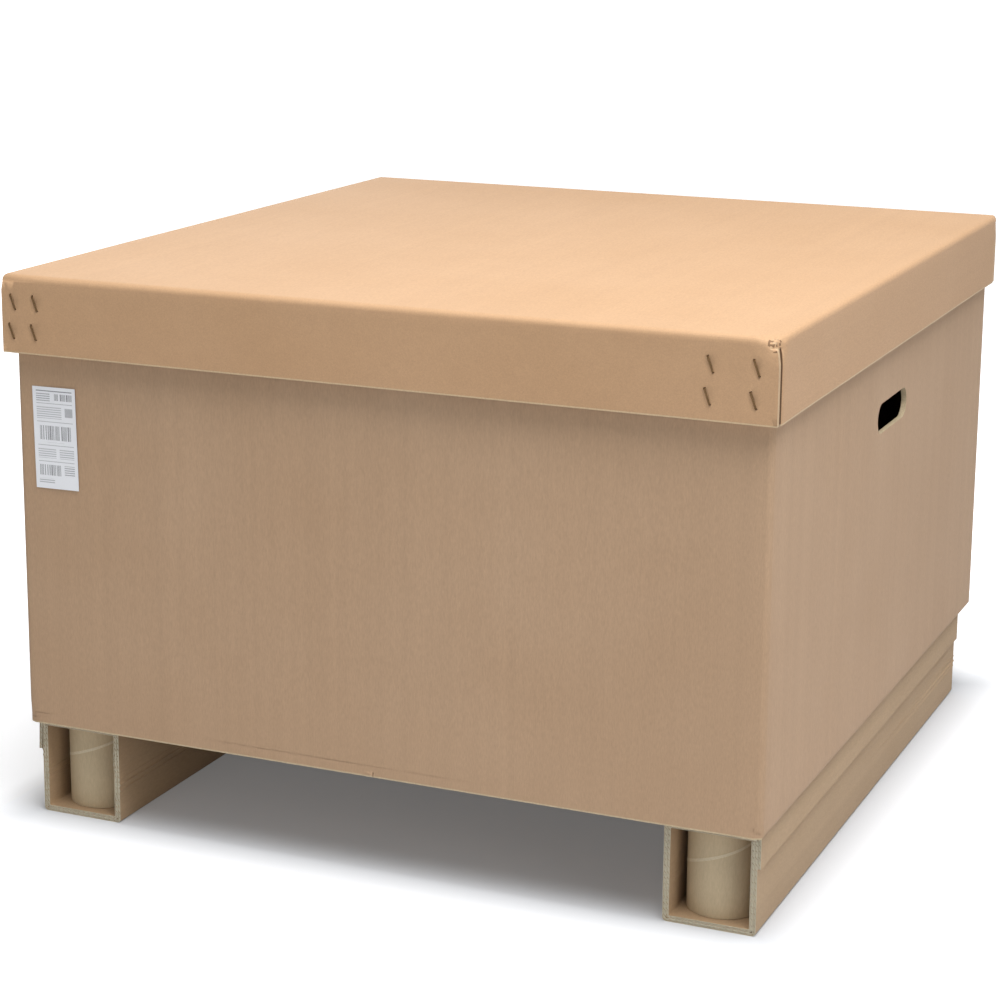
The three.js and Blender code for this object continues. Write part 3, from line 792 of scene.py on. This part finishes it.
# %% [markdown]
# The body and the lid are large sheets of board, and no large sheet is dead flat. Each is a copy of the
# solid's own mesh, cut by many planes so that it has points to move, and then pushed a millimetre or so by
# smooth noise. Only inward moves are used on the lid, so it never grows past its true size. The copy is
# shaded smooth across its bends and sharp at its edges.

# %% Helpers for large sheets of board
BOARD = 0.007  # thickness of the double-wall board
HAIR = 0.0001  # a tolerance that is finer than any real gap
SHARP_ANGLE = 24


def cut_across(sheet, at, facing):
    """Cuts a whole sheet by one plane."""
    geometry = sheet.verts[:] + sheet.edges[:] + sheet.faces[:]
    bmesh.ops.bisect_plane(sheet, geom=geometry, plane_co=at, plane_no=facing, dist=1e-6)


def sliced_copy(node_name, spacing):
    """A copy of a solid's mesh, cut by planes along X, Y and Z at a spacing."""
    sheet = bmesh.new()
    sheet.from_mesh(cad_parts[node_name].data)
    bmesh.ops.remove_doubles(sheet, verts=sheet.verts, dist=1e-6)
    low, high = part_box(node_name)
    for axis in range(3):
        count = int((high[axis] - low[axis]) / spacing)
        for number in range(1, count):
            at, facing = Vector((0, 0, 0)), Vector((0, 0, 0))
            at[axis] = low[axis] + (high[axis] - low[axis]) * number / count
            facing[axis] = 1
            cut_across(sheet, at, facing)
    return sheet, low, high


def finer_near(sheet, centre, reach, spacing):
    """More cuts on the faces that lie near a point."""
    for axis in range(3):
        steps = int(reach / spacing)
        for number in range(-steps, steps + 1):
            near = [f for f in sheet.faces if (f.calc_center_median() - centre).length < reach * 1.4 + spacing]
            if not near:
                continue
            geometry = list({v for f in near for v in f.verts}) + list({e for f in near for e in f.edges}) + near
            at, facing = centre.copy(), Vector((0, 0, 0))
            at[axis] += number * spacing
            facing[axis] = 1
            bmesh.ops.bisect_plane(sheet, geom=geometry, plane_co=at, plane_no=facing, dist=1e-6)


def soft_noise(a, b, seed, size):
    """Smooth noise from 0 to 1 over two lengths, with features of a given size."""
    return 0.5 + 0.5 * noise.noise(Vector((a / size, b / size, seed)))


def ramp(value, start, end):
    """0 below start, 1 above end, smooth between."""
    t = min(1.0, max(0.0, (value - start) / (end - start)))
    return t * t * (3 - 2 * t)


def finish_sheet(sheet, piece_name, material):
    """Turns the cut and moved mesh into an object."""
    bmesh.ops.triangulate(sheet, faces=[f for f in sheet.faces if len(f.verts) > 4])
    mesh = bpy.data.meshes.new(piece_name)
    sheet.normal_update()
    sheet.to_mesh(mesh)
    sheet.free()
    mesh.materials.append(material)
    mesh.shade_smooth()
    mesh.set_sharp_from_angle(angle=math.radians(SHARP_ANGLE))
    piece = bpy.data.objects.new(piece_name, mesh)
    bpy.context.scene.collection.objects.link(piece)
    print(piece_name, len(mesh.polygons), "faces")
    return piece


# %% [markdown]
# The body's walls bow in a little in the middle, where only the board's own stiffness holds them. The raw
# edges, where the board was cut, are marked with an attribute, so that the material can show the pale
# corrugated middle of the board there. They are the rim and the rims of the hand holes, and the same pale tone
# is put on the lowest strip of the front and back faces, as a pale line along the bottom. The creases at the
# bottom are pressed sharper than the solid's, as a loaded box stands on them.

# %% Body box
BODY_BOW = 0.0016
CORNER = 0.010  # radius of the upright creases
CREASE = 0.009  # radius of the creases that turn the walls into the flaps
PRESSED = 0.3  # the share of that radius that is left at the side walls
PALE_EDGE = 0.0018  # height of the pale line along the lower front edge
CREASE_CUTS = (0.003, 0.006, 0.010)  # extra cuts, this far in from the side walls' faces
HOLE_REACH, HOLE_LOW, HOLE_HIGH = 0.08, 0.50, 0.56

sheet, low, high = sliced_copy("body_box", 0.030)
cut_and_highlight_layer = sheet.faces.layers.float.new("cut_and_highlight")
flap_top = low.z + BOARD + HAIR
cut_across(sheet, (0, 0, low.z + PALE_EDGE), (0, 0, 1))
for inward in CREASE_CUTS:
    for side in (-1, 1):
        cut_across(sheet, (side * (high.x - inward), 0, 0), (1, 0, 0))
for face in sheet.faces:
    centre, facing = face.calc_center_median(), face.normal
    rim_edge = facing.z > 0.7 and centre.z > high.z - 0.0005
    # A pale line on the lowest strip of the front and back faces.
    pale_bottom_strip = abs(facing.y) > 0.7 and centre.z < low.z + PALE_EDGE and abs(centre.y) > 0.4
    in_wall = abs(facing.x) < 0.3 and abs(centre.x) > high.x - BOARD + HAIR
    hole = in_wall and abs(centre.y) < HOLE_REACH and HOLE_LOW < centre.z < HOLE_HIGH
    face[cut_and_highlight_layer] = 1.0 if rim_edge or pale_bottom_strip or hole else 0.0
for vert in sheet.verts:
    x, y, z = vert.co
    if z < low.z + CREASE + 5 * HAIR and high.x - CREASE - HAIR < abs(x) < high.x:
        vert.co.x = math.copysign(high.x - (high.x - abs(x)) * PRESSED, x)
    in_front_crease = z < flap_top + CREASE + 5 * HAIR and abs(y) > high.y - CORNER - 3 * HAIR
    on_outside = z > flap_top - 2 * HAIR or abs(y) > high.y - 7 * HAIR
    if in_front_crease and on_outside:
        past = max(0.0, abs(vert.co.x) - (high.x - CORNER))
        face_y = high.y - CORNER + math.sqrt(max(0.0, CORNER ** 2 - past ** 2))
        vert.co.y = math.copysign(face_y - HAIR, y)
    # The bow fades out towards the corners and the bottom, and is weaker under the lid.
    upright = ramp(z, low.z + 0.004, low.z + 0.12) * (1 - 0.6 * ramp(z, high.z - 0.12, high.z))
    side_weight = ramp(abs(x), 0.40, 0.49) * (1 - ramp(abs(y), 0.40, 0.52)) * upright
    end_weight = ramp(abs(y), 0.42, 0.51) * (1 - ramp(abs(x), 0.38, 0.495)) * upright
    bow_x = soft_noise(y, z, 3.0 if x > 0 else 7.0, 0.42)
    bow_y = soft_noise(x, z, 11.0 if y > 0 else 5.0, 0.42)
    vert.co.x -= math.copysign(BODY_BOW * bow_x * side_weight, x)
    vert.co.y -= math.copysign(BODY_BOW * bow_y * end_weight, y)
body_piece = finish_sheet(sheet, "body_board", body_kraft)
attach(body_piece, "box")
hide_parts("body_box")

# %% [markdown]
# The lid is cut in the same way, with more cuts round the front staples and at the front right corner, where
# it will be dented. Its raw edges are marked as cut, and so is the lowest strip of its skirts, which paints a
# highlight along the crushed lower edge. The slit where a side skirt turns behind the front skirt is marked
# with painted shade, which makes it dark, and some flecks of torn paper on the crumpled corner are marked as
# rubbed.

# %% Lid: cuts and marks
LID_CREASE = 0.009
# The lowest strip of the skirts gets the pale edge tone: a painted highlight on the crushed lower edge.
LOWER_EDGE = 0.0017  # height of the pale lower edge
# The faces in this slit are darkened with the soil tone: painted shade in the recess.
SLIT = 0.0045  # width of the dark line where the side skirt turns behind the front skirt
SKIRT_INSET = 0.005  # the solid's front skirt stops this far inside the side skirts
TAB_INSET = 0.108  # and its tabs stop this far inside
CRUMPLE_REACH = 0.034

sheet, low, high = sliced_copy("lid", 0.026)
tip = Vector((high.x, low.y, high.z))
finer_near(sheet, tip, CRUMPLE_REACH, 0.0034)
for centre in staple_centres:
    if centre.y < 0:
        finer_near(sheet, Vector((centre.x, low.y, centre.z)), 0.015, 0.005)
cut_across(sheet, (0, 0, low.z + LOWER_EDGE), (0, 0, 1))
slit_end = high.y - BOARD - HAIR - SLIT
for side in (-1, 1):
    cut_across(sheet, (0, side * slit_end, 0), (0, 1, 0))
cut_and_highlight_layer = sheet.faces.layers.float.new("cut_and_highlight")
rubbed_and_shaded_layer = sheet.faces.layers.float.new("rubbed_and_shaded")
for face in sheet.faces:
    centre, facing = face.calc_center_median(), face.normal
    from_side = high.x - abs(centre.x)
    sideways = abs(facing.x) > 0.7
    lower_edge = centre.z < low.z + LOWER_EDGE
    skirt_end = sideways and abs(from_side - SKIRT_INSET) < 6 * HAIR and abs(centre.y) > high.y - BOARD - HAIR
    tab_end = sideways and abs(from_side - TAB_INSET) < 6 * HAIR
    # 0.65 on the lower strip paints a highlight; the skirt and tab ends are raw cut edges.
    face[cut_and_highlight_layer] = 0.65 if lower_edge else 0.35 if skirt_end else 1.0 if tab_end else 0.0
    # Painted shade: the outward faces in the slit behind the front skirt get the dark tone.
    in_slit = from_side < 0.0088 and slit_end < abs(centre.y) < high.y - BOARD + 2 * HAIR
    in_slit = in_slit and centre.z < high.z - LID_CREASE and facing.x * centre.x > 0
    near_tip = (centre - tip).length < 0.42 * CRUMPLE_REACH
    fleck = noise.noise(centre / 0.0035 + Vector((3, 1, 7)))
    face[rubbed_and_shaded_layer] = 0.95 if in_slit else 0.7 if near_tip and fleck > 0.1 else 0.0
    if near_tip and fleck < -0.35:
        face[cut_and_highlight_layer] = 0.35
print("lid cut into", len(sheet.faces), "faces")

# %% [markdown]
# The lid gets the same slight bow, and two more marks of use. Each staple is driven hard enough to press a
# shallow dimple into the board round its crown, and the top corner at the front right is crumpled, as
# happens when a heavy box is set down on a corner: the tip is pushed in and the board round it buckles.

# %% Lid: bow, dimples and crumpled corner
LID_BOW = 0.0011
DIMPLE = 0.0012
DIMPLE_REACH = (0.010, 0.016)  # sideways and up
SOFT_CORNER = 0.0022  # how far the upper corners are rounded off
SKIRT_END = 0.0016  # the front skirt is shown to stop this far inside the side skirts
CRUMPLE_DEPTH = 0.009
CRUMPLE_PUSH = Vector((-0.62, 0.42, -0.66))  # inwards, backwards and down

for vert in sheet.verts:
    x, y, z = vert.co
    at_skirt_end = high.x - SKIRT_INSET - 6 * HAIR < abs(x) < high.x - SKIRT_INSET + 6 * HAIR
    if at_skirt_end and abs(y) > high.y - BOARD - 2 * HAIR and z < high.z - LID_CREASE + HAIR:
        vert.co.x = math.copysign(high.x - SKIRT_END, x)
    # The top sags, most in the middle, and the skirts bow between their corners.
    on_top = ramp(z, high.z - 0.012, high.z - 0.006)
    inside_x = 1 - ramp(abs(x), 0.40, 0.505)
    inside_y = 1 - ramp(abs(y), 0.42, 0.538)
    skirt = 1 - ramp(z, high.z - 0.03, high.z - 0.004)
    vert.co.z -= LID_BOW * 1.3 * soft_noise(x, y, 2.0, 0.36) * on_top * (0.25 + 0.75 * inside_x * inside_y)
    bow_x = soft_noise(y, z, 4.0 if x > 0 else 9.0, 0.30)
    bow_y = soft_noise(x, z, 6.0 if y > 0 else 8.0, 0.30)
    vert.co.x -= math.copysign(LID_BOW * bow_x * skirt * ramp(abs(x), 0.45, 0.50) * inside_y, x)
    vert.co.y -= math.copysign(LID_BOW * bow_y * skirt * ramp(abs(y), 0.48, 0.53) * inside_x, y)
    for centre in staple_centres:
        if abs(y) > high.y - 0.002 and y * centre.y > 0:
            away = math.hypot((x - centre.x) / DIMPLE_REACH[0], (z - centre.z) / DIMPLE_REACH[1])
            vert.co.y -= math.copysign(DIMPLE * max(0.0, 1 - away) ** 1.5 * 1.6, y)
    corner_x, corner_y = ramp(abs(x), high.x - 0.012, high.x), ramp(abs(y), high.y - 0.012, high.y)
    over_corner = corner_x * corner_y * ramp(z, high.z - 0.0096, high.z - 0.0091)
    vert.co.x -= math.copysign(SOFT_CORNER * over_corner, x)
    vert.co.y -= math.copysign(SOFT_CORNER * over_corner, y)
    from_tip = (Vector((x, y, z)) - tip).length
    if from_tip < CRUMPLE_REACH:
        near = (1 - from_tip / CRUMPLE_REACH) ** 1.4
        buckle = 0.55 + 0.9 * soft_noise(x + y, z - x, 14.0, 0.011)
        vert.co += CRUMPLE_PUSH * CRUMPLE_DEPTH * near * buckle
for vert in sheet.verts:
    for axis in range(3):
        vert.co[axis] = min(high[axis], max(low[axis], vert.co[axis]))
lid_piece = finish_sheet(sheet, "lid_board", lid_kraft)
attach(lid_piece, "lid")
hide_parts("lid")

# %% [markdown]
# The shipping label is a printed paper sheet stuck to the front wall. It is a fine grid of points, so its
# edges can lift by a fraction of a millimetre, and its own flat coordinates place a plain layout of bars
# and lines on it. It stands for a label without carrying any words.

# %% Shipping label
LABEL_WIDTH, LABEL_HEIGHT = 0.063, 0.132
LABEL_TURN = 0.8  # degrees
LABEL_LIFT = 0.0006  # at the loose edges
LABEL_RIPPLE = 0.0001
LABEL_COLUMNS, LABEL_ROWS = 14, 28

label_low, label_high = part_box("label")
middle = (label_low + label_high) / 2
points, faces, flat = [], [], []
for row in range(LABEL_ROWS + 1):
    for column in range(LABEL_COLUMNS + 1):
        u, v = column / LABEL_COLUMNS, row / LABEL_ROWS
        edge = max(abs(2 * u - 1), abs(2 * v - 1)) ** 8
        lift = LABEL_LIFT * edge * soft_noise(u, v, 21.0, 0.5) + LABEL_RIPPLE * soft_noise(u, v, 3.0, 0.2)
        local = Vector(((u - 0.5) * LABEL_WIDTH, 0, (v - 0.5) * LABEL_HEIGHT))
        local.rotate(Euler((0, math.radians(-LABEL_TURN), 0)))
        points.append((middle.x + local.x, label_high.y - 0.0002 - lift, middle.z + local.z))
        flat.append((u, v))
for row in range(LABEL_ROWS):
    for column in range(LABEL_COLUMNS):
        first = row * (LABEL_COLUMNS + 1) + column
        faces.append((first, first + 1, first + LABEL_COLUMNS + 2, first + LABEL_COLUMNS + 1))
label_mesh = bpy.data.meshes.new("label_sheet")
label_mesh.from_pydata(points, [], faces)
layout = label_mesh.uv_layers.new(name="flat")
for polygon in label_mesh.polygons:
    for loop in polygon.loop_indices:
        layout.data[loop].uv = flat[label_mesh.loops[loop].vertex_index]
label_mesh.materials.append(label_paper)
label_mesh.shade_smooth()
label_piece = bpy.data.objects.new("label_sheet", label_mesh)
bpy.context.scene.collection.objects.link(label_piece)
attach(label_piece, "box")
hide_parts("label")
print("label", len(faces), "faces")

# %% Finish
shown_low, shown_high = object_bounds()
sizes = {"cad": [list(solid_low), list(solid_high)], "visual": [list(shown_low), list(shown_high)]}
print("shown", [round(v, 4) for v in shown_high - shown_low])
